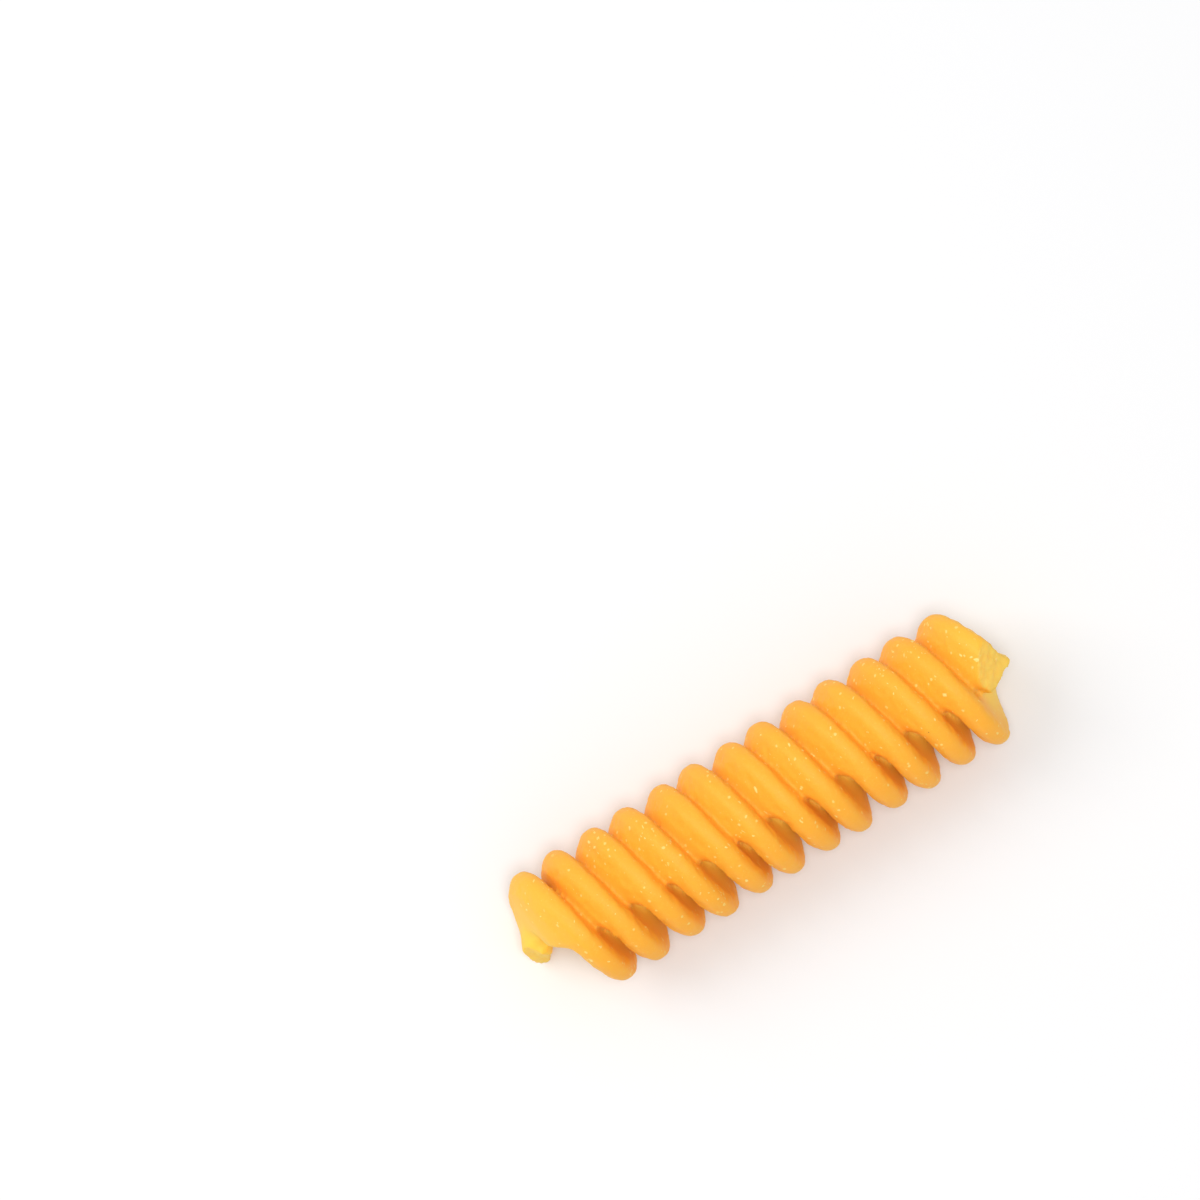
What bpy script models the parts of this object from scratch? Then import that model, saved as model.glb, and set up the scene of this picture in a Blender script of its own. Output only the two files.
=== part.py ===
"""Fusillo: one short twist of dry durum-wheat pasta, lying on its side.

Two fins wind round a thin core like a right-handed two-start screw. Each fin is lofted from round-edged
sections that stand square to its ribbon. Its ends are cut off aslant, and the fins and the core are
joined into one solid that rests on a small flat along its lowest edges.
The axis runs along +X, +Z is up, and the origin is the middle of the underside. Lengths are in metres.
"""

import math

import bmesh
import bpy
from mathutils import Vector

MM = 0.001

# Driving dimensions
DIAMETER = 9.8 * MM
PITCH = 5.41 * MM
FIN_THICKNESS = 1.70 * MM
EDGE_DEPTH = 1.15 * MM
CORE_RADIUS = 0.78 * MM
FLAT_DEPTH = 0.12 * MM

RADIUS = DIAMETER / 2
LEAD = PITCH / (2 * math.pi)
AXIS_HEIGHT = RADIUS - FLAT_DEPTH

# Where each fin begins and ends, in degrees of turn from the point where the first fin is uppermost in +Y
FIRST_FIN = (-109.0, 2264.0)
SECOND_FIN = (-92.0, 2070.0)
SECOND_FIN_LAG = 171.0

# How uneven the extruded shape is
EDGE_WAVE = 0.035 * MM
PITCH_WANDER = 0.11 * MM
BEND_AT_START = 0.10 * MM
BEND_AT_END = 0.85 * MM
THICKNESS_AT_START = 0.78
THICKNESS_AT_END = 1.40
END_REACH = 105.0

# The slanted cut that takes the corner off the first fin's last end
CUT_POINT = (34.03 * MM, 0.30 * MM, AXIS_HEIGHT + 3.5 * MM)
CUT_DIRECTION = (0.587, -0.517, 0.621)

# Fineness of the facets
DEGREES_PER_SECTION = 18.0
FACE_RADII = (0.10, 0.19, 0.37, 0.58)
EDGE_SEGMENTS = 6
CORE_SEGMENTS = 14

PASTA_COLOUR = (1.0, 0.474, 0.042, 1.0)
PASTA_ROUGHNESS = 0.55


def clear_scene():
    """Removes every object the file opened with."""
    for obj in list(bpy.data.objects):
        bpy.data.objects.remove(obj)


def new_collection(name):
    """Returns a new collection in the scene."""
    made = bpy.data.collections.new(name)
    bpy.context.scene.collection.children.link(made)
    return made


def pasta_material():
    """Returns the matt golden material of the dried dough."""
    material = bpy.data.materials.new("dry_pasta")
    material.use_nodes = True
    shader = material.node_tree.nodes["Principled BSDF"]
    shader.inputs["Base Color"].default_value = PASTA_COLOUR
    shader.inputs["Roughness"].default_value = PASTA_ROUGHNESS
    shader.inputs["Metallic"].default_value = 0.0
    return material


def half_thickness(radius):
    """Half the fin's thickness along the axis: a ribbon of even thickness is thicker that way near the axis."""
    even = FIN_THICKNESS / 2 * RADIUS / math.hypot(RADIUS, LEAD)
    return min(even * math.hypot(radius, LEAD) / radius, PITCH / 4)


def fin_section():
    """The fin's outline in a plane through the axis, as (radius, offset along the axis): up, over, down."""
    edge_base = RADIUS - EDGE_DEPTH
    rising = [(f * RADIUS, -half_thickness(f * RADIUS)) for f in FACE_RADII]
    edge = []
    for i in range(EDGE_SEGMENTS + 1):
        turn = math.pi * i / EDGE_SEGMENTS
        edge.append((edge_base + EDGE_DEPTH * math.sin(turn), -half_thickness(edge_base) * math.cos(turn)))
    falling = [(radius, -offset) for radius, offset in reversed(rising)]
    return rising + edge + falling


def nearness(distance):
    """1 at a fin's end, falling smoothly to 0 at END_REACH degrees from it."""
    return max(0.0, 1.0 - distance / END_REACH) ** 2


def square_turn(radius, offset):
    """How far ahead, in radians, a point of a section that stands square to the ribbon is, not to the axis."""
    return -offset * LEAD / (radius * radius + LEAD * LEAD)


def fin_point(radius, offset, turn, span, lag):
    """The place of one section point of a fin at a turn, in degrees, with the fin's unevenness."""
    first, last = span
    at_start = nearness(turn - first)
    at_end = nearness(last - turn)
    height = radius / RADIUS
    ahead = square_turn(radius, offset)
    angle = math.radians(turn) + ahead
    swing = math.sin(2 * math.pi * (turn + lag) / (last - first))
    wave = math.sin(angle * 2.3 + lag) * math.sin(angle * 0.41)
    bend = (BEND_AT_START * at_start + BEND_AT_END * at_end) * height
    swell = 1.0 + ((THICKNESS_AT_START - 1.0) * at_start + (THICKNESS_AT_END - 1.0) * at_end) * height
    along = PITCH * (turn + lag) / 360 + LEAD * ahead + offset * swell
    along += bend + PITCH_WANDER * swing * height
    reach = radius + EDGE_WAVE * wave * height
    return Vector((along, reach * math.cos(angle), AXIS_HEIGHT + reach * math.sin(angle)))


def finished_mesh(name, mesh):
    """Turns a closed bmesh into mesh data of triangles that face outwards."""
    bmesh.ops.triangulate(mesh, faces=mesh.faces)
    if mesh.calc_volume(signed=True) < 0:
        bmesh.ops.reverse_faces(mesh, faces=mesh.faces)
    data = bpy.data.meshes.new(name)
    mesh.to_mesh(data)
    mesh.free()
    return data


def slice_corner(mesh):
    """Takes off what lies past the slanted cut and closes the face that it leaves."""
    bmesh.ops.bisect_plane(mesh, geom=mesh.verts[:] + mesh.edges[:] + mesh.faces[:], plane_co=CUT_POINT,
                           plane_no=CUT_DIRECTION, clear_outer=True)
    bmesh.ops.holes_fill(mesh, edges=[edge for edge in mesh.edges if edge.is_boundary], sides=0)


def fin_mesh(name, span, lag, sliced=False):
    """Lofts one closed fin along its turns, with a flat face at each end."""
    sections = round((span[1] - span[0]) / DEGREES_PER_SECTION)
    mesh = bmesh.new()
    rings = []
    for i in range(sections + 1):
        turn = span[0] + (span[1] - span[0]) * i / sections
        rings.append([mesh.verts.new(fin_point(r, s, turn, span, lag)) for r, s in fin_section()])
    count = len(rings[0])
    for ring, following in zip(rings, rings[1:]):
        for k in range(count):
            after = (k + 1) % count
            mesh.faces.new((ring[k], ring[after], following[after], following[k]))
    mesh.faces.new(reversed(rings[0]))
    mesh.faces.new(rings[-1])
    if sliced:
        slice_corner(mesh)
    return finished_mesh(name, mesh)


def core_mesh(name, start, end):
    """A rod along the axis, with blunt rounded ends."""
    mesh = bmesh.new()
    blunt = CORE_RADIUS * 0.7
    stations = ((start, 0.45), (start + blunt, 1.0), (end - blunt, 1.0), (end, 0.45))
    bmesh.ops.create_cone(mesh, cap_ends=True, segments=CORE_SEGMENTS, radius1=CORE_RADIUS,
                          radius2=CORE_RADIUS, depth=1.0)
    for cut in (-0.3, 0.3):
        bmesh.ops.bisect_plane(mesh, geom=mesh.verts[:] + mesh.edges[:] + mesh.faces[:],
                               plane_co=(0, 0, cut), plane_no=(0, 0, 1))
    levels = sorted({round(v.co.z, 3) for v in mesh.verts})
    for vert in mesh.verts:
        along, share = stations[levels.index(round(vert.co.z, 3))]
        vert.co = Vector((along, -vert.co.y * share, AXIS_HEIGHT + vert.co.x * share))
    return finished_mesh(name, mesh)


def add_object(name, data, collection):
    """Links a mesh as an object of this collection."""
    obj = bpy.data.objects.new(name, data)
    collection.objects.link(obj)
    return obj


def hide_helper(obj):
    """Marks an object that only joins or cuts another."""
    obj.hide_render = True
    obj.display_type = "WIRE"


def combine(obj, other, operation):
    """Joins other to obj, or cuts it away. The manifold solver copes with fins whose turns nearly touch."""
    modifier = obj.modifiers.new(f"{operation.lower()}_{other.name}", "BOOLEAN")
    modifier.operation = operation
    modifier.solver = "MANIFOLD"
    modifier.object = other


def floor_cutter(collection):
    """A block whose top is the floor, which takes off what the fins' edges reach below it."""
    bpy.ops.mesh.primitive_cube_add(size=1.0)
    block = bpy.context.active_object
    block.name = "floor_cutter"
    for vert in block.data.vertices:
        vert.co = Vector((vert.co.x * 120 * MM, vert.co.y * 20 * MM, (vert.co.z - 0.5) * 4 * MM))
    for old in block.users_collection:
        old.objects.unlink(block)
    collection.objects.link(block)
    return block


def centre_over_origin(obj):
    """Moves the mesh so that its box is centred on the origin in plan."""
    low = [min(v.co[i] for v in obj.data.vertices) for i in range(2)]
    high = [max(v.co[i] for v in obj.data.vertices) for i in range(2)]
    obj.data.transform(obj.matrix_world.Translation((-(low[0] + high[0]) / 2, -(low[1] + high[1]) / 2, 0)))


def build():
    """Makes the fusillo."""
    clear_scene()
    parts = new_collection("fusillo")
    helpers = new_collection("helpers")

    fusillo = add_object("fusillo", fin_mesh("first_fin", FIRST_FIN, 0.0, sliced=True), parts)
    second = add_object("second_fin", fin_mesh("second_fin", SECOND_FIN, SECOND_FIN_LAG), helpers)
    core_start = PITCH * (FIRST_FIN[0] + 60) / 360
    core_end = PITCH * (FIRST_FIN[1] - 30) / 360
    core = add_object("core", core_mesh("core", core_start, core_end), helpers)
    cutter = floor_cutter(helpers)
    for helper in (second, core, cutter):
        hide_helper(helper)

    combine(fusillo, core, "UNION")
    combine(fusillo, second, "UNION")
    combine(fusillo, cutter, "DIFFERENCE")
    bpy.context.view_layer.update()
    graph = bpy.context.evaluated_depsgraph_get()
    joined = bpy.data.meshes.new_from_object(fusillo.evaluated_get(graph))
    fusillo.modifiers.clear()
    fusillo.data = joined
    for helper in (second, core, cutter):
        bpy.data.objects.remove(helper)
    centre_over_origin(fusillo)
    joined.shade_smooth()
    joined.set_sharp_from_angle(angle=math.radians(50))
    joined.materials.clear()
    joined.materials.append(pasta_material())


build()
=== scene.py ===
"""A dry fusillo: the fine surface, finish, stage and camera for one golden spiral of durum pasta.

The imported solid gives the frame. The surface here is worked out again at a fine grain in the same place, with
uneven fins, gritty edges, a torn end and flecks of semolina. Sizes inside the shape functions are millimetres.
"""

import itertools
import math

import bmesh
import bpy
import numpy as np
from mathutils import Matrix, Vector


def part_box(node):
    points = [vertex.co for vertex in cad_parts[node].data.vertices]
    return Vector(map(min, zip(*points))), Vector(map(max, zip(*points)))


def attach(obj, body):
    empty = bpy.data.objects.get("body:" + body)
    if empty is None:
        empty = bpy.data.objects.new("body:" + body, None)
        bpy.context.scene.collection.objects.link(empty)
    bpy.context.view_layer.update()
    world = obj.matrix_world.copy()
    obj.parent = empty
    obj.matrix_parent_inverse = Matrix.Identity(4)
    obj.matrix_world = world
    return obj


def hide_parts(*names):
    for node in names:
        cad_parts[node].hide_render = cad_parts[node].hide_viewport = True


bl_info = {
    "name": "Dry Fusillo",
    "version": (1, 0, 0),
    "blender": (4, 5, 0),
    "location": "View3D > Sidebar > Pasta",
    "description": "Makes a fine-grained spiral of dry pasta and its small stage",
    "category": "Add Mesh",
}

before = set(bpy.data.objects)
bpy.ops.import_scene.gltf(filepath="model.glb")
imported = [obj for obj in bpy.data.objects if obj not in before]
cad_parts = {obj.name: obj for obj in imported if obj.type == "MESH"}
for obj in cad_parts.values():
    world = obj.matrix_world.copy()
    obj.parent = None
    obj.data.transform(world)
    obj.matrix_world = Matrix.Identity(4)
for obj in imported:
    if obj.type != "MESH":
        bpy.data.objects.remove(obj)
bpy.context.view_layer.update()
SOLID_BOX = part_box("fusillo")

MM = 0.001

# The driving sizes of the solid, in millimetres
DIAMETER = 9.8
PITCH = 5.41
FIN_THICKNESS = 1.80
EDGE_DEPTH = 0.85
CORE_RADIUS = 1.15
RADIUS = DIAMETER / 2
LEAD = PITCH / (2 * math.pi)
AXIS_HEIGHT = RADIUS - 0.12

# Each fin's first and last turn in degrees, how far it lags, how much wider it stands than the other, its
# thickness at either end as a share of the usual one, how far its rim is bent along the axis there, and how much
# further its near face spreads at the foot of its last end
FIRST_FIN = {"first": -100.0, "last": 2282.0, "lag": 0.0, "wider": 0.0, "thick": (0.55, 1.30),
             "bent": (0.10, 0.80), "foot": 1.2}
SECOND_FIN = {"first": -92.0, "last": 2055.0, "lag": 171.0, "wider": 0.06, "thick": (0.85, 0.85),
              "bent": (0.10, 0.0), "foot": 0.0}

# The fins' section: how much they thicken and flare towards the root, and how square the crown is on its near
# and far sides
TAPER = 0.15
ROOT_FLARE = 0.7
NEAR_CROWN = 2.0
FAR_CROWN = 4.5

# The near face spreads by FOOT between two depths below the crown. Along a fin the foot grows in between two
# turns after its start. Round the axis it is lost between the angles FOOT_LOST and back between FOOT_BACK.
FOOT = 1.05
FOOT_TOP = 0.25
FOOT_BOTTOM = 2.4
FOOT_START = (60.0, 240.0)
FOOT_LOST = (100.0, 122.0)
FOOT_BACK = (215.0, 320.0)

# Unevenness of the rims, and how many degrees from a fin's end its bend and swelling reach
EDGE_WAVE = 0.035
PITCH_WANDER = 0.11
END_REACH = 105.0

# How many degrees after the first fin's start the core begins, and before its last end it stops
CORE_BEGINS = 145
CORE_STOPS = 75

# The plane of the torn face
TEAR_POINT = np.array((33.98, -0.41, 3.5))
TEAR_DIRECTION = np.array((0.486, -0.611, 0.625))

# How far in from either end the dough takes the tips' painted light, a paler colour standing in for light through
# the thin dough
FIRST_TIP = 5.5
LAST_TIP = 4.5

# The rise of the crags on broken faces, and the most that a fleck stands up
CRAG_HEIGHT = 0.14
FLECK_RISE = 0.035 * MM

# The width of the camera's field at the piece, in metres, and how far its target lies left of and above the axis
FIELD = 80.3 * MM
TARGET_LEFT = 11.19 * MM
TARGET_UP = 13.64 * MM


def srgb(red, green, blue):
    """A colour of 0..255 values as scene-linear values: ((c + 0.055) / 1.055) ** 2.4 above the toe."""
    shares = (value / 255 for value in (red, green, blue))
    return tuple(c / 12.92 if c <= 0.04045 else ((c + 0.055) / 1.055) ** 2.4 for c in shares)


class FusilloSizes(bpy.types.PropertyGroup):
    """How fine and how rough the spiral's surface is."""

    mesh_grain: bpy.props.FloatProperty(
        name="Mesh Grain", description="Side of the surface's facets", default=0.17 * MM, min=0.1 * MM,
        unit="LENGTH", precision=5)
    lump_height: bpy.props.FloatProperty(
        name="Lump Height", description="Rise of the broad unevenness of the dough", default=0.045 * MM,
        unit="LENGTH", precision=5)
    grit_height: bpy.props.FloatProperty(
        name="Grit Height", description="Rise of the grit on the fins' edges", default=0.038 * MM,
        unit="LENGTH", precision=5)
    fleck_count: bpy.props.IntProperty(
        name="Flecks", description="How many flecks of semolina stand on the surface", default=1100, min=0)
    fleck_size: bpy.props.FloatProperty(
        name="Fleck Size", description="Half length of a middling fleck", default=0.095 * MM,
        unit="LENGTH", precision=5)


class FusilloLooks(bpy.types.PropertyGroup):
    """The colours and finish of the dried dough, with painted light in its valleys and at its tips."""

    edge_colour: bpy.props.FloatVectorProperty(
        name="Edge Colour", description="Dough on the fins' edges", default=srgb(255, 175, 50),
        subtype="COLOR", min=0, max=1)
    # Painted light: the valleys take this paler, yellower colour than the edges, standing in for light that
    # passes through the translucent dough and fills the grooves.
    valley_painted_light: bpy.props.FloatVectorProperty(
        name="Valley Colour", description="Dough deep between the fins", default=srgb(255, 222, 98),
        subtype="COLOR", min=0, max=1)
    # Painted light: this paler colour near both ends stands in for light passing through the thin dough.
    tip_painted_light: bpy.props.FloatVectorProperty(
        name="Tip Colour", description="Thin dough at both ends", default=srgb(255, 198, 70),
        subtype="COLOR", min=0, max=1)
    torn_colour: bpy.props.FloatVectorProperty(
        name="Torn Colour", description="Dry dough on the broken faces", default=srgb(255, 208, 92),
        subtype="COLOR", min=0, max=1)
    fleck_colour: bpy.props.FloatVectorProperty(
        name="Fleck Colour", description="Flecks of semolina", default=srgb(255, 224, 132),
        subtype="COLOR", min=0, max=1)
    bran_colour: bpy.props.FloatVectorProperty(
        name="Bran Colour", description="Rare specks of bran", default=srgb(120, 66, 20),
        subtype="COLOR", min=0, max=1)
    roughness: bpy.props.FloatProperty(
        name="Roughness", description="Roughness of the dough", default=0.55, min=0, max=1)


class FusilloStage(bpy.types.PropertyGroup):
    """The floor, the lamps and the camera."""

    floor_colour: bpy.props.FloatVectorProperty(
        name="Floor Colour", description="Pale card under the piece", default=(0.86, 0.86, 0.865),
        subtype="COLOR", min=0, max=1)
    sky_strength: bpy.props.FloatProperty(
        name="Sky Strength", description="White light from all round", default=0.57, min=0)
    key_power: bpy.props.FloatProperty(
        name="Key Power", description="Power of the large soft lamp at one side", default=0.66, min=0,
        unit="POWER")
    top_power: bpy.props.FloatProperty(
        name="Top Power", description="Power of the lamp above, which lights the valleys", default=1.05, min=0,
        unit="POWER")
    lens: bpy.props.FloatProperty(
        name="Lens", description="Focal length of the camera, in millimetres", default=135.0, min=1)
    lean_along: bpy.props.FloatProperty(
        name="Lean Along", description="How far the camera leans from straight above towards the first end",
        default=math.radians(2.2), subtype="ANGLE")
    lean_across: bpy.props.FloatProperty(
        name="Lean Across", description="How far the camera leans from straight above towards the near side",
        default=math.radians(6.75), subtype="ANGLE")
    picture_turn: bpy.props.FloatProperty(
        name="Picture Turn", description="Turn of the picture against the piece",
        default=math.radians(-32.25), subtype="ANGLE")


def lattice_noise(points, size, seed):
    """Smooth noise in -1..1. Space is cut into cubes of this size, each cube corner has a random value, and a
    point blends its cube's eight corners with the weight w * w * (3 - 2 * w) along each axis."""
    period = 61
    table = np.random.default_rng(seed).uniform(-1, 1, (period, period, period))
    cell = points / size + 1000.37
    corner = np.floor(cell).astype(int)
    weight = cell - corner
    weight = weight * weight * (3 - 2 * weight)
    total = np.zeros(len(points))
    for step in itertools.product((0, 1), repeat=3):
        share = np.prod(np.abs(1 - np.array(step) - weight), axis=1)
        index = (corner + np.array(step)) % period
        total += share * table[index[:, 0], index[:, 1], index[:, 2]]
    return total


def smooth_step(values, low, high):
    """0 below low, 1 above high, and t * t * (3 - 2 * t) between them."""
    t = np.clip((values - low) / (high - low), 0, 1)
    return t * t * (3 - 2 * t)


def half_thickness(radius):
    """Half a fin's thickness along the axis: an even ribbon's, times hypot(radius, lead) / radius, times
    1 + TAPER * d + ROOT_FLARE * d^3 at a depth of d = 1 - radius / RADIUS, up to a quarter of the pitch."""
    even = FIN_THICKNESS / 2 * RADIUS / math.hypot(RADIUS, LEAD)
    depth = 1 - radius / RADIUS
    flared = even * (1 + TAPER * depth + ROOT_FLARE * depth**3)
    return np.minimum(flared * np.hypot(radius, LEAD) / radius, PITCH / 4)


def fin_outline():
    """(radius, offset along the axis) round a fin's section: up the near face, over the crown, and down the far
    face. The crown falls by EDGE_DEPTH * |share|^n, where share runs from -1 to 1 across it, and n is larger, and
    so the corner squarer, on the far side."""
    base = RADIUS - EDGE_DEPTH
    up = np.linspace(0.10 * RADIUS, base, 24, endpoint=False)
    share = np.linspace(-1, 1, 45)
    crown = RADIUS - EDGE_DEPTH * np.abs(share) ** np.where(share < 0, NEAR_CROWN, FAR_CROWN)
    radius = np.concatenate((up, crown, up[::-1]))
    offset = np.concatenate((-half_thickness(up), half_thickness(base) * share, half_thickness(up)[::-1]))
    return radius, offset


def nearness(distance):
    """(1 - distance / END_REACH) squared, and 0 beyond END_REACH degrees."""
    return np.maximum(0, 1 - distance / END_REACH) ** 2


def wander(fin, turn):
    """How far the fin's rim strays along the axis: one sine over its whole length."""
    return PITCH_WANDER * np.sin(2 * math.pi * (turn + fin["lag"]) / (fin["last"] - fin["first"]))


def fin_surface(fin):
    """A grid of points, turns by section points. A section point at (radius, offset) stands at the angle
    turn + ahead, where ahead = -offset * lead / (radius^2 + lead^2) keeps the section square to the ribbon,
    and at pitch * turn / 360 + lead * ahead + offset along the axis. Small waves, a bend and a swelling near the
    ends, and a slow wander of the pitch are added in proportion to the height above the axis, and the near face
    spreads at its foot."""
    radius, offset = fin_outline()
    turn = np.arange(fin["first"], fin["last"] + 1.5, 3.0)[:, None]
    turn[-1] = fin["last"]
    height = radius / RADIUS
    at_start = nearness(turn - fin["first"])
    at_end = nearness(fin["last"] - turn)
    ahead = -offset * LEAD / (radius * radius + LEAD * LEAD)
    angle = np.radians(turn) + ahead
    wave = np.sin(angle * 2.3 + fin["lag"]) * np.sin(angle * 0.41)
    swell = 1 + ((fin["thick"][0] - 1) * at_start + (fin["thick"][1] - 1) * at_end) * height
    bend = fin["bent"][0] * at_start + fin["bent"][1] * at_end
    round_axis = np.degrees(angle) % 360
    foot = FOOT * smooth_step(RADIUS - radius, FOOT_TOP, FOOT_BOTTOM)
    foot = foot * smooth_step(turn - fin["first"], *FOOT_START)
    foot *= 1 - smooth_step(round_axis, *FOOT_LOST) + smooth_step(round_axis, *FOOT_BACK)
    spread = np.where(offset < 0, -foot - fin["foot"] * (1 - height) * at_end, 0)
    along = PITCH * (turn + fin["lag"]) / 360 + LEAD * ahead + offset * swell + spread
    along += (bend + wander(fin, turn)) * height
    reach = radius + (EDGE_WAVE * wave + fin["wider"]) * height
    return np.stack((along, reach * np.cos(angle), reach * np.sin(angle)), axis=-1)


def core_surface():
    """A rod of the core's radius along the axis; its ends close as sqrt(1 - t^2) over one radius."""
    start = PITCH * (FIRST_FIN["first"] + CORE_BEGINS) / 360
    end = PITCH * (FIRST_FIN["last"] - CORE_STOPS) / 360
    along = np.linspace(start, end, 240)[:, None]
    inside = np.clip(np.minimum(along - start, end - along) / CORE_RADIUS, 0, 1)
    reach = CORE_RADIUS * np.sqrt(np.maximum(1 - (1 - inside) ** 2, 0.02))
    angle = np.linspace(0, 2 * math.pi, 24, endpoint=False)
    return np.stack((along + 0 * angle, reach * np.cos(angle), reach * np.sin(angle)), axis=-1)


def tube_faces(rows, columns, start):
    """Quads between neighbouring closed rows of a grid, and the numbers of the two end rows."""
    number = start + np.arange(rows * columns).reshape(rows, columns)
    after = np.roll(number, -1, axis=1)
    quads = np.stack((number[:-1], after[:-1], after[1:], number[1:]), axis=-1).reshape(-1, 4)
    return quads, number[0], number[-1]


def tubes_mesh(name, grids):
    """One mesh of closed tubes. Each end row closes on its own middle point with a fan of triangles."""
    points, faces, start = [], [], 0
    for grid in grids:
        rows, columns = grid.shape[:2]
        quads, head, tail = tube_faces(rows, columns, start)
        middle = start + rows * columns
        points += [grid.reshape(-1, 3), grid[0].mean(axis=0)[None], grid[-1].mean(axis=0)[None]]
        faces += quads.tolist()
        faces += np.stack((np.roll(head, -1), head, np.full(columns, middle)), axis=-1).tolist()
        faces += np.stack((tail, np.roll(tail, -1), np.full(columns, middle + 1)), axis=-1).tolist()
        start = middle + 2
    mesh = bpy.data.meshes.new(name)
    mesh.from_pydata(np.concatenate(points).tolist(), [], faces)
    mesh.update()
    return mesh


def torn_tubes(name):
    """The fins and the core as closed tubes. The first fin loses what lies past the tear's plane, and the hole is
    filled with one flat face."""
    torn = tubes_mesh(name, [fin_surface(FIRST_FIN)])
    body = bmesh.new()
    body.from_mesh(torn)
    bmesh.ops.bisect_plane(body, geom=body.verts[:] + body.edges[:] + body.faces[:], plane_co=TEAR_POINT,
                           plane_no=TEAR_DIRECTION, clear_outer=True)
    bmesh.ops.holes_fill(body, edges=[edge for edge in body.edges if edge.is_boundary], sides=0)
    body.from_mesh(tubes_mesh("whole_tubes", [fin_surface(SECOND_FIN), core_surface()]))
    body.to_mesh(torn)
    body.free()
    return torn


def fused(mesh, grain):
    """The tubes as one skin, with facets of this grain, smoothed a little at its joints."""
    obj = bpy.data.objects.new("fusing", mesh)
    bpy.context.scene.collection.objects.link(obj)
    remesh = obj.modifiers.new("one_skin", "REMESH")
    remesh.mode = "VOXEL"
    remesh.voxel_size = grain
    soften = obj.modifiers.new("soft_joints", "SMOOTH")
    soften.factor, soften.iterations = 0.4, 1
    bpy.context.view_layer.update()
    skin = bpy.data.meshes.new_from_object(obj.evaluated_get(bpy.context.evaluated_depsgraph_get()))
    bpy.data.objects.remove(obj)
    return skin


def mesh_points(mesh):
    """The mesh's vertices as an array."""
    values = np.empty(len(mesh.vertices) * 3, np.float32)
    mesh.vertices.foreach_get("co", values)
    return values.reshape(-1, 3).astype(float)


def mesh_normals(mesh):
    """The mesh's vertex normals as an array."""
    values = np.empty(len(mesh.vertices) * 3, np.float32)
    mesh.vertex_normals.foreach_get("vector", values)
    return values.reshape(-1, 3).astype(float)


def axis_height_share(points):
    """Distance from the axis over the radius: 0 on the axis and 1 on the fins' edges."""
    return np.hypot(points[:, 1], points[:, 2]) / RADIUS


def nearest_turn(fin, points):
    """The fin's turn, in degrees, whose ribbon passes nearest to each point at the point's own angle."""
    angle = np.degrees(np.arctan2(points[:, 2], points[:, 1]))
    return angle + 360 * np.round((360 * points[:, 0] / PITCH - fin["lag"] - angle) / 360)


def broken_share(points, normals):
    """1 on the broken faces and 0 elsewhere. The torn face is where the skin lies on the tear's plane and faces
    along it. Each other end face is where a point is near its fin's first or last turn and the skin faces along
    the ribbon."""
    past = (points - TEAR_POINT) @ TEAR_DIRECTION
    found = smooth_step(normals @ TEAR_DIRECTION, 0.80, 0.93) * smooth_step(-np.abs(past), -0.22, -0.10)
    found *= points[:, 0] > TEAR_POINT[0] - 2.5
    radius = np.hypot(points[:, 1], points[:, 2])
    along = np.stack((np.full(len(points), LEAD), -points[:, 2], points[:, 1]), axis=-1)
    along /= np.hypot(radius, LEAD)[:, None]
    for fin in (FIRST_FIN, SECOND_FIN):
        turn = nearest_turn(fin, points)
        for end, way in ((fin["first"], -1), (fin["last"], 1)):
            near = np.abs(turn - end) * np.pi / 180 * radius
            facing = smooth_step(way * np.sum(normals * along, axis=1), 0.72, 0.9)
            found = np.maximum(found, facing * smooth_step(-near, -0.6, -0.3))
    return found


def arris_share(points):
    """1 along the two corners of each fin's crown and 0 elsewhere: exp(-(d / 0.22)^2) of the distance d between
    a point's offset from the nearest fin's middle and half the fin's thickness, on the outer part of the fins."""
    height = axis_height_share(points)
    offsets = []
    for fin in (FIRST_FIN, SECOND_FIN):
        turn = nearest_turn(fin, points)
        offsets.append(points[:, 0] - PITCH * (turn + fin["lag"]) / 360 - wander(fin, turn) * height)
    nearest = np.abs(np.where(np.abs(offsets[0]) < np.abs(offsets[1]), offsets[0], offsets[1]))
    return np.exp(-((nearest - half_thickness(RADIUS)) / 0.22) ** 2) * smooth_step(height, 0.68, 0.84)


def roughen(points, normals, sizes):
    """Moves each point along its normal: broad lumps everywhere, grit that grows towards the fins' edges and
    most on the crowns' corners, and crags on the broken faces."""
    height = axis_height_share(points)
    edge = smooth_step(height, 0.60, 0.90)
    broken = broken_share(points, normals)
    lumps = 0.65 * lattice_noise(points, 2.6, 11) + 0.35 * lattice_noise(points, 1.1, 12)
    grit = 0.55 * lattice_noise(points, 0.34, 13) + 0.45 * lattice_noise(points, 0.62, 14)
    crags = np.abs(lattice_noise(points, 0.55, 15)) - 0.45 + 0.5 * lattice_noise(points, 0.3, 16)
    rise = sizes.lump_height / MM * lumps * (0.4 + 0.6 * height)
    rise += sizes.grit_height / MM * grit * (0.25 + 0.55 * edge + 1.6 * arris_share(points))
    rise += CRAG_HEIGHT * crags * broken
    return points + normals * rise[:, None], broken


def place_offset():
    """From the fin functions' frame, whose origin is on the axis at the first fin's turn 0, to the solid's."""
    low, high = SOLID_BOX
    ends = [fin_surface(fin)[..., 0] for fin in (FIRST_FIN, SECOND_FIN)]
    first = min(end.min() for end in ends)
    last = max(end.max() for end in ends)
    middle = (low.x + high.x) / 2 / MM
    return np.array((middle - (first + last) / 2, 0, AXIS_HEIGHT))


def give_shares(mesh, name, values):
    """Stores one number for each vertex."""
    layer = mesh.attributes.new(name, "FLOAT", "POINT")
    layer.data.foreach_set("value", values.astype(np.float32))


def set_points(mesh, points):
    """Puts an array of points, in metres, into the mesh."""
    mesh.vertices.foreach_set("co", points.astype(np.float32).ravel())
    mesh.update()


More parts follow.
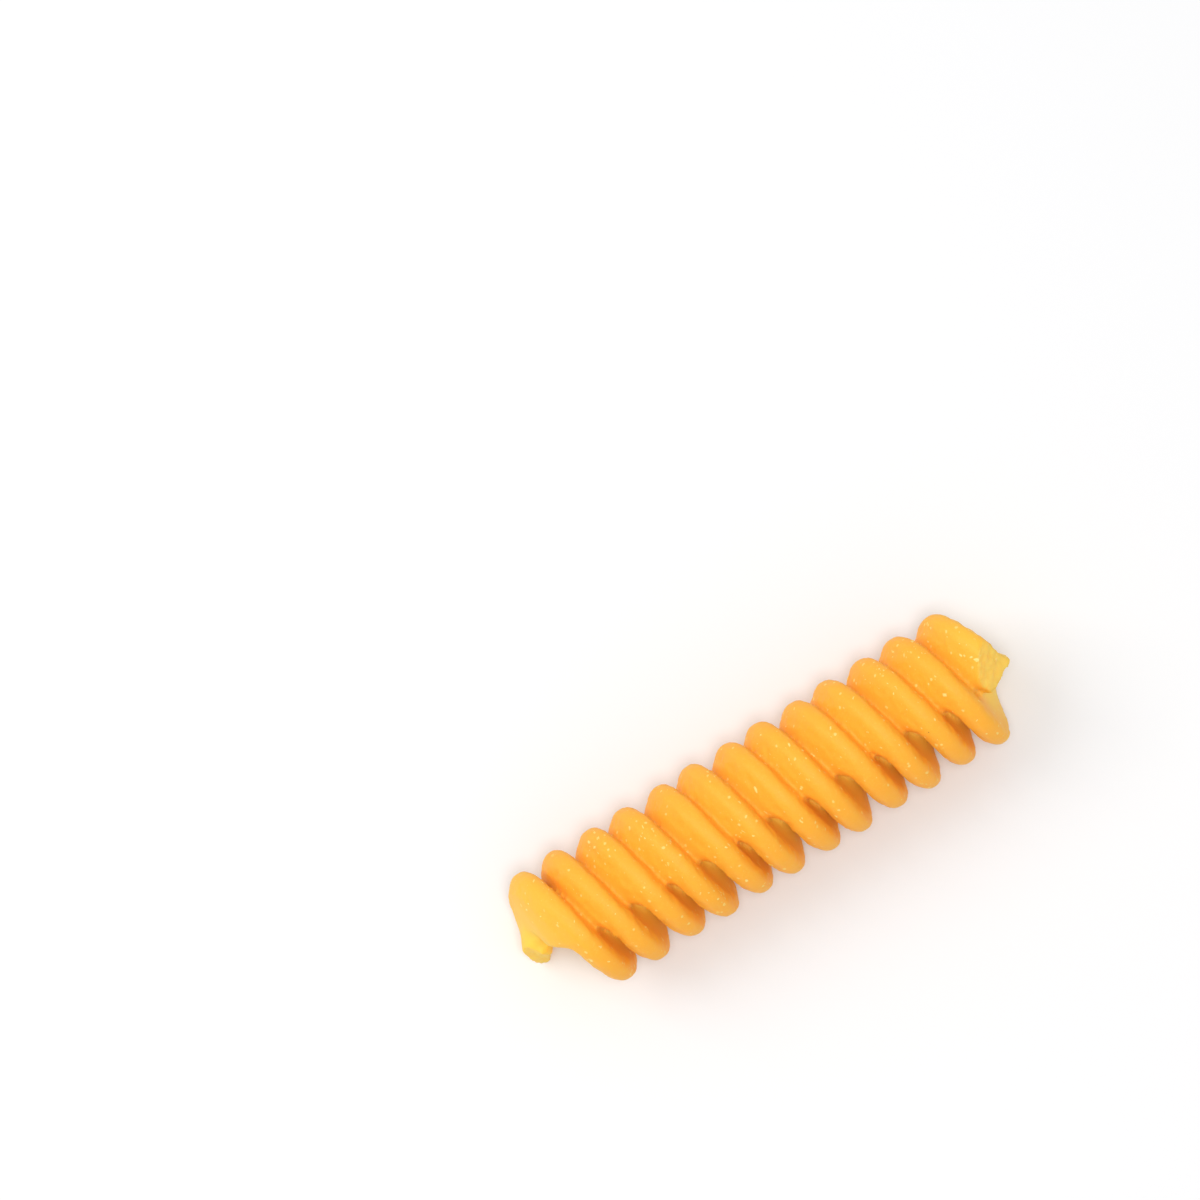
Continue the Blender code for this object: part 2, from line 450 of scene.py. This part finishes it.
def twist_mesh(sizes):
    """The whole spiral in metres, with its shares of valley, tip and broken face."""
    tubes = torn_tubes("tubes")
    mesh = fused(tubes, sizes.mesh_grain / MM)
    bpy.data.meshes.remove(tubes)
    mesh.name = "fusillo_twist"
    points, broken = roughen(mesh_points(mesh), mesh_normals(mesh), sizes)
    height = axis_height_share(points)
    first, last = points[:, 0].min(), points[:, 0].max()
    tip = np.maximum(smooth_step(first + FIRST_TIP - points[:, 0], 0, FIRST_TIP),
                     smooth_step(points[:, 0] - last + LAST_TIP, 0, LAST_TIP))
    placed = points + place_offset()
    placed[:, 2] = np.maximum(placed[:, 2], 0)
    set_points(mesh, placed * MM)
    # The valley and tip shares carry the painted light: a paler colour between the fins and near the ends,
    # standing in for light through the dough.
    give_shares(mesh, "valley", 1 - smooth_step(height, 0.15, 0.92))
    give_shares(mesh, "tip", tip)
    give_shares(mesh, "broken", broken)
    mesh.shade_smooth()
    return mesh


def chip_shape():
    """A squashed eight-sided chip: two rings of four points and a pole above and below."""
    angle = np.arange(8) * math.pi / 4
    ring = np.stack((np.cos(angle), np.sin(angle), np.where(np.arange(8) % 2, -0.2, -0.5)), axis=-1)
    points = np.concatenate((ring, ((0, 0, 0.6), (0, 0, -1.0))))
    after = np.roll(np.arange(8), -1)
    top = np.stack((np.arange(8), after, np.full(8, 8)), axis=-1)
    under = np.stack((after, np.arange(8), np.full(8, 9)), axis=-1)
    return points, np.concatenate((top, under))


def scattered_flecks(skin, sizes):
    """Flat chips of semolina on the skin. Vertices are drawn at random with a weight that grows with height and
    gathers them in loose clusters. Each chip lies roughly along its ribbon, with a random length, width and
    dents."""
    draw = np.random.default_rng(21)
    points, normals = mesh_points(skin), mesh_normals(skin)
    spiral = points / MM - place_offset()
    weight = 0.15 + smooth_step(axis_height_share(spiral), 0.55, 0.92)
    weight *= 0.12 + smooth_step(lattice_noise(spiral, 1.3, 22) + 0.5 * lattice_noise(spiral, 0.5, 23), 0.1, 0.9)
    weight *= points[:, 2] > 0.3 * MM
    chosen = draw.choice(len(points), sizes.fleck_count, replace=False, p=weight / weight.sum())
    normal = normals[chosen]
    ribbon = np.stack((np.full(len(chosen), LEAD), -spiral[chosen, 2], spiral[chosen, 1]), axis=-1)
    ribbon /= np.linalg.norm(ribbon, axis=1)[:, None]
    side = np.cross(np.cross(normal, ribbon + 0.45 * draw.normal(size=normal.shape)), normal)
    side /= np.linalg.norm(side, axis=1)[:, None]
    across = np.cross(normal, side)
    length = sizes.fleck_size * draw.lognormal(0, 0.45, sizes.fleck_count)
    width = length * draw.uniform(0.3, 0.75, sizes.fleck_count)
    depth = np.minimum(width, FLECK_RISE) * draw.uniform(0.5, 1.0, sizes.fleck_count)
    shape, faces = chip_shape()
    dented = shape[None] * draw.uniform(0.65, 1.25, (sizes.fleck_count, len(shape), 1))
    spots = points[chosen][:, None] + dented[..., 0:1] * (side * length[:, None])[:, None]
    spots = spots + dented[..., 1:2] * (across * width[:, None])[:, None]
    spots = spots + dented[..., 2:3] * (normal * depth[:, None])[:, None]
    numbered = faces[None] + (np.arange(sizes.fleck_count) * len(shape))[:, None, None]
    mesh = bpy.data.meshes.new("semolina_flecks")
    mesh.from_pydata(spots.reshape(-1, 3).tolist(), [], numbered.reshape(-1, 3).tolist())
    mesh.update()
    return mesh


class Wire:
    """A node's output. Sums, differences, products and powers written with it add Math nodes."""

    def __init__(self, web, socket):
        self.web = web
        self.socket = socket

    def maths(self, operation, first, second):
        """One Math node of this operation."""
        return self.web.add("ShaderNodeMath", {"operation": operation}, {0: first, 1: second})

    def __add__(self, other):
        return self.maths("ADD", self, other)

    def __sub__(self, other):
        return self.maths("SUBTRACT", self, other)

    def __mul__(self, other):
        return self.maths("MULTIPLY", self, other)

    def __rsub__(self, other):
        return self.maths("SUBTRACT", other, self)

    def __gt__(self, other):
        return self.maths("GREATER_THAN", self, other)

    __radd__ = __add__
    __rmul__ = __mul__


class Web:
    """A material's node tree."""

    def __init__(self, name):
        self.material = bpy.data.materials.new(name)
        self.material.use_nodes = True
        self.tree = self.material.node_tree
        self.shader = self.tree.nodes["Principled BSDF"]

    def add(self, kind, settings=None, values=None, output=0):
        """A node of this kind with its settings, then the values or wires of its inputs."""
        node = self.tree.nodes.new(kind)
        for name, value in (settings or {}).items():
            setattr(node, name, value)
        for key, value in (values or {}).items():
            self.feed(node.inputs[key], value)
        return Wire(self, node.outputs[output])

    def feed(self, socket, value):
        """Links a wire to the socket, or sets its value."""
        if isinstance(value, Wire):
            self.tree.links.new(value.socket, socket)
        else:
            socket.default_value = value

    def finish(self, **values):
        """Feeds the shader's inputs, whose names have underscores for spaces."""
        for name, value in values.items():
            self.feed(self.shader.inputs[name.replace("_", " ")], value)
        return self.material

    def place(self):
        """Where a point is on the object."""
        return self.add("ShaderNodeTexCoord", output="Object")

    def share(self, name):
        """The number that the mesh stores under this name."""
        return self.add("ShaderNodeAttribute", {"attribute_name": name}, output="Fac")

    def noise(self, place, size, detail=2.0, roughness=0.5):
        """Noise of 0..1 whose lumps are about this size in metres."""
        return self.add("ShaderNodeTexNoise", {"noise_dimensions": "3D"},
                        {"Vector": place, "Scale": 1 / size, "Detail": detail, "Roughness": roughness})

    def step(self, wire, low, high):
        """0 below low and 1 above high, smoothly between."""
        return self.add("ShaderNodeMapRange", {"interpolation_type": "SMOOTHSTEP"},
                        {"Value": wire, "From Min": low, "From Max": high, "To Min": 0.0, "To Max": 1.0})

    def mix(self, share, first, second):
        """Two colours mixed by a share."""
        return self.add("ShaderNodeMix", {"data_type": "RGBA"}, {0: share, 6: first, 7: second}, output=2)

    def nudge(self, place, size, amount):
        """A place moved about at random by up to half this amount in metres."""
        stir = self.add("ShaderNodeTexNoise", {"noise_dimensions": "3D"},
                        {"Vector": place, "Scale": 1 / size, "Detail": 1.0}, output="Color")
        centred = self.add("ShaderNodeVectorMath", {"operation": "SUBTRACT"}, {0: stir, 1: (0.5, 0.5, 0.5)})
        moved = self.add("ShaderNodeVectorMath", {"operation": "SCALE"}, {0: centred, "Scale": amount})
        return self.add("ShaderNodeVectorMath", {"operation": "ADD"}, {0: place, 1: moved})

    def spots(self, place, spacing, reach, keep):
        """Spots about one reach wide, at random places a spacing apart; only this share of them is kept."""
        kind = {"voronoi_dimensions": "3D", "feature": "F1"}
        values = {"Vector": place, "Scale": 1 / spacing}
        distance = self.add("ShaderNodeTexVoronoi", kind, values, output="Distance")
        chance = self.add("ShaderNodeTexVoronoi", kind, values, output="Color")
        red = self.add("ShaderNodeSeparateColor", None, {0: chance})
        near = 1 - self.step(distance, 0.55 * reach / spacing, reach / spacing)
        return near * (red > 1 - keep)


def opaque(colour):
    """A colour with an alpha of 1."""
    return (*colour, 1.0)


def dough_material(looks):
    """Dried durum dough: golden on the edges, with painted light in the valleys, where a paler, yellower colour
    stands in for light passing through the translucent dough into the grooves, and at the thin tips, where a
    paler colour stands in for light through the thin dough. It is paler where broken, with fine grain, pale
    flecks and rare specks of bran."""
    web = Web("dried_dough")
    place = web.place()
    valley, tip, broken = web.share("valley"), web.share("tip"), web.share("broken")
    blotch = web.noise(place, 3.2 * MM, 3.0)
    grain = web.noise(place, 0.16 * MM, 3.0, 0.62)
    grit = web.noise(place, 0.42 * MM, 2.0, 0.6)
    stirred = web.nudge(place, 0.35 * MM, 0.22 * MM)
    flecks = web.spots(stirred, 0.62 * MM, 0.13 * MM, 0.42)
    bran = web.spots(place, 2.9 * MM, 0.085 * MM, 0.22)
    edge = web.step(1 - valley, 0.35, 0.95)

    # Painted light: the valley share lays the paler painted glow between the fins.
    colour = web.mix(valley, opaque(looks.edge_colour), opaque(looks.valley_painted_light))
    # Painted light: the tip share lays the paler painted glow near both ends.
    colour = web.mix(tip * 0.75, colour, opaque(looks.tip_painted_light))
    dusk = web.step(blotch, 0.40, 0.75) * 0.22
    colour = web.mix(dusk, colour, opaque(srgb(252, 178, 48)))
    bright = web.step(grain, 0.52, 0.78) * (0.10 + 0.26 * edge)
    colour = web.mix(bright, colour, opaque(srgb(255, 200, 90)))
    dark = web.step(1 - grain, 0.55, 0.80) * 0.20
    colour = web.mix(dark, colour, opaque(srgb(246, 172, 46)))
    colour = web.mix(flecks * (0.12 + 0.55 * edge), colour, opaque(looks.fleck_colour))
    colour = web.mix(broken * (0.55 + 0.45 * web.step(grit, 0.35, 0.65)), colour, opaque(looks.torn_colour))
    colour = web.mix(bran * 0.85, colour, opaque(looks.bran_colour))

    relief = 0.5 * grain + 0.6 * grit + 0.5 * flecks * edge
    bump = web.add("ShaderNodeBump", None, {"Strength": 0.55, "Distance": 0.035 * MM, "Height": relief})
    rough = looks.roughness - 0.06 + 0.14 * grain + 0.12 * broken
    return web.finish(Base_Color=colour, Roughness=rough, Normal=bump, Subsurface_Weight=0.2,
                      Subsurface_Radius=(1.0, 0.42, 0.12), Subsurface_Scale=3.0 * MM, Specular_IOR_Level=0.32)


def fleck_material(looks):
    """Pale dry semolina, a little uneven in colour."""
    web = Web("semolina")
    patch = web.noise(web.place(), 0.6 * MM, 2.0)
    colour = web.mix(web.step(patch, 0.35, 0.65), opaque(looks.fleck_colour), opaque(srgb(252, 196, 84)))
    rough = 0.45 + 0.25 * patch
    return web.finish(Base_Color=colour, Roughness=rough, Specular_IOR_Level=0.35)


def card_material(stage):
    """Plain matt card."""
    web = Web("pale_card")
    return web.finish(Base_Color=opaque(stage.floor_colour), Roughness=0.9, Specular_IOR_Level=0.15)


def show(name, mesh, material, slot=None):
    """Links a mesh at the origin with its material. With a slot it is a piece of the pasta."""
    obj = bpy.data.objects.new(name, mesh)
    bpy.context.scene.collection.objects.link(obj)
    mesh.materials.clear()
    mesh.materials.append(material)
    if slot:
        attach(obj, "root")
    return obj


class PASTA_OT_make_twist(bpy.types.Operator):
    """Make the spiral itself in place of the plain solid"""

    bl_idname = "pasta.make_twist"
    bl_label = "Make Twist"

    def execute(self, context):
        mesh = twist_mesh(context.scene.fusillo_sizes)
        obj = show("fusillo_twist", mesh, dough_material(context.scene.fusillo_looks), "dry_pasta")
        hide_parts("fusillo")
        return {"FINISHED"}


class PASTA_OT_strew_flecks(bpy.types.Operator):
    """Strew flecks of semolina over the spiral"""

    bl_idname = "pasta.strew_flecks"
    bl_label = "Strew Flecks"

    def execute(self, context):
        mesh = scattered_flecks(bpy.data.objects["fusillo_twist"].data, context.scene.fusillo_sizes)
        show("semolina_flecks", mesh, fleck_material(context.scene.fusillo_looks), "dry_pasta")
        return {"FINISHED"}


def soft_lamp(name, power, size, place, target):
    """A square white lamp at a place, facing the target."""
    lamp = bpy.data.lights.new(name, "AREA")
    lamp.energy, lamp.shape, lamp.size = power, "SQUARE", size
    lamp.color = (1, 1, 1)
    obj = bpy.data.objects.new(name, lamp)
    obj.location = place
    obj.rotation_euler = (target - place).to_track_quat("-Z", "Y").to_euler()
    bpy.context.scene.collection.objects.link(obj)


def floor_mesh(half):
    """A flat square of the floor, just under the piece."""
    count = 9
    side = np.linspace(-half, half, count)
    x, y = np.meshgrid(side, side, indexing="ij")
    points = np.stack((x, y, np.full_like(x, -0.00002)), axis=-1).reshape(-1, 3)
    number = np.arange(count * count).reshape(count, count)
    quads = np.stack((number[:-1, :-1], number[1:, :-1], number[1:, 1:], number[:-1, 1:]), axis=-1)
    mesh = bpy.data.meshes.new("floor")
    mesh.from_pydata(points.tolist(), [], quads.reshape(-1, 4).tolist())
    mesh.update()
    return mesh


def camera_axes(stage):
    """The camera's right, up and back directions. Back leans from straight up by two angles, and right is the
    level direction of the picture's turn, made square to back."""
    lean = Vector((-math.sin(stage.lean_along), -math.sin(stage.lean_across), 0))
    back = Vector((lean.x, lean.y, math.sqrt(1 - lean.length_squared)))
    level = Vector((math.cos(stage.picture_turn), math.sin(stage.picture_turn), 0))
    right = (level - back * level.dot(back)).normalized()
    return right, back.cross(right), back


class PASTA_OT_set_stage(bpy.types.Operator):
    """Lay the floor, hang the lamps and set the camera"""

    bl_idname = "pasta.set_stage"
    bl_label = "Set Stage"

    def execute(self, context):
        scene, stage = context.scene, context.scene.fusillo_stage
        scene.view_settings.view_transform = "Standard"
        world = bpy.data.worlds.new("white_sky")
        world.use_nodes = True
        sky = world.node_tree.nodes["Background"]
        sky.inputs["Color"].default_value = (1, 1, 1, 1)
        sky.inputs["Strength"].default_value = stage.sky_strength
        scene.world = world

        floor = show("floor", floor_mesh(1.5), card_material(stage))

        centre = Vector((0, 0, AXIS_HEIGHT * MM))
        right, up, back = camera_axes(stage)
        soft_lamp("key_softbox", stage.key_power, 0.26, Vector((-0.22, 0.22, 0.34)), centre)
        soft_lamp("top_softbox", stage.top_power, 0.14, centre + back * 0.5, centre)
        camera = bpy.data.cameras.new("camera")
        camera.lens, camera.sensor_width = stage.lens, 36.0
        target = centre - right * TARGET_LEFT + up * TARGET_UP
        obj = bpy.data.objects.new("camera", camera)
        obj.location = target + back * (FIELD * stage.lens / camera.sensor_width)
        obj.rotation_euler = Matrix((right, up, back)).transposed().to_euler()
        camera.clip_start, camera.clip_end = 0.005, 20
        scene.collection.objects.link(obj)
        scene.camera = obj
        return {"FINISHED"}


class PASTA_PT_panel(bpy.types.Panel):
    """The steps in order, with their settings"""

    bl_idname = "PASTA_PT_panel"
    bl_label = "Dry Fusillo"
    bl_space_type = "VIEW_3D"
    bl_region_type = "UI"
    bl_category = "Pasta"

    def draw(self, context):
        for operator in STEPS:
            self.layout.operator(operator.bl_idname)
        for group in (context.scene.fusillo_sizes, context.scene.fusillo_looks, context.scene.fusillo_stage):
            box = self.layout.box()
            for name in group.__annotations__:
                box.prop(group, name)


STEPS = (PASTA_OT_make_twist, PASTA_OT_strew_flecks, PASTA_OT_set_stage)
GROUPS = {"fusillo_sizes": FusilloSizes, "fusillo_looks": FusilloLooks, "fusillo_stage": FusilloStage}


def register():
    """Registers the settings, the steps and the panel."""
    for group in GROUPS.values():
        bpy.utils.register_class(group)
    for name, group in GROUPS.items():
        setattr(bpy.types.Scene, name, bpy.props.PointerProperty(type=group))
    for kind in (*STEPS, PASTA_PT_panel):
        bpy.utils.register_class(kind)


def unregister():
    """Removes what register added."""
    for kind in reversed((*STEPS, PASTA_PT_panel)):
        bpy.utils.unregister_class(kind)
    for name, group in GROUPS.items():
        delattr(bpy.types.Scene, name)
        bpy.utils.unregister_class(group)


def main():
    """Makes everything in order."""
    register()
    bpy.ops.pasta.make_twist()
    bpy.ops.pasta.strew_flecks()
    bpy.ops.pasta.set_stage()


if __name__ == "__main__":
    main()
